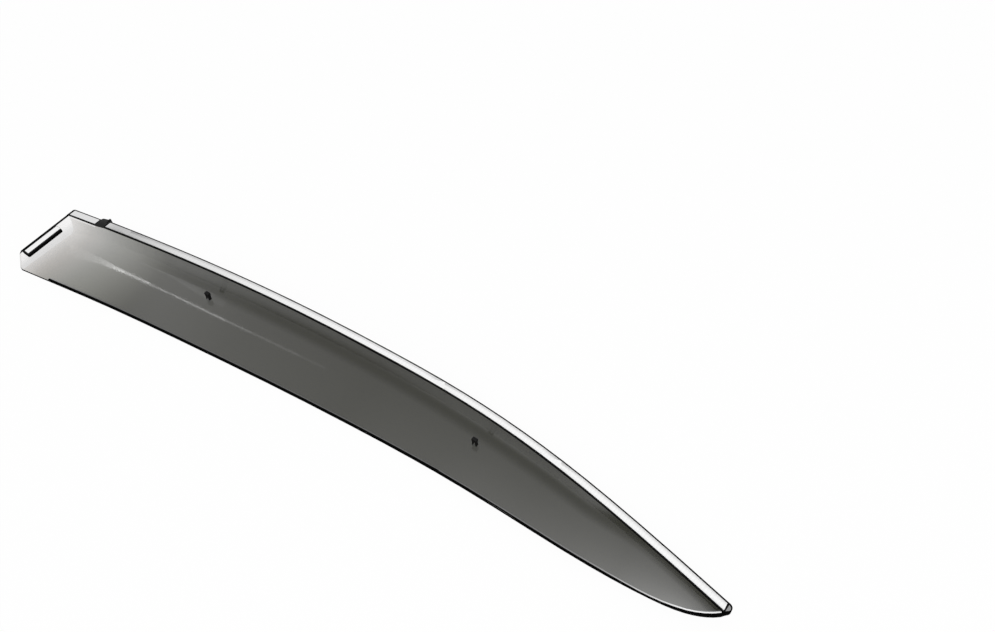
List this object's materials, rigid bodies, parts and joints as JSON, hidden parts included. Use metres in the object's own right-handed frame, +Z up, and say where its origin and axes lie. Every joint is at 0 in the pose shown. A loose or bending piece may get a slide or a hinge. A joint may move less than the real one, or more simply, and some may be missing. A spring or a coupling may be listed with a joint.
{
  "type": "window rain deflector",
  "caption": "Smoked acrylic rain deflector for a car's rear-door window, with a taped bonding flange, an end wall, a flange clip and clip holders.",
  "frame": {"origin": "centre of the bounding box's bottom face, on the surface that the blade lies on", "axes": "+X along the deflector to its pointed tip, +Y across it towards the roof, +Z up, away from the blade's outer face"},
  "size_m": [0.8068, 0.1325, 0.0252],
  "materials": {
    "smoked_acrylic": "polished, see-through smoked grey",
    "tape_foam": "matte",
    "tape_liner": "fine ribbed film",
    "black_nylon": "satin"
  },
  "bodies": {
    "root": {"deflector_shell": "smoked_acrylic", "long_tape_foam": "tape_foam", "long_tape_liner": "tape_liner", "short_tape_foam": "tape_foam", "short_tape_liner": "tape_liner", "end_tape_foam": "tape_foam", "end_tape_liner": "tape_liner", "flange_clip": "black_nylon", "front_clip_holder": "black_nylon", "rear_clip_holder": "black_nylon"}
  },
  "joints": []
}
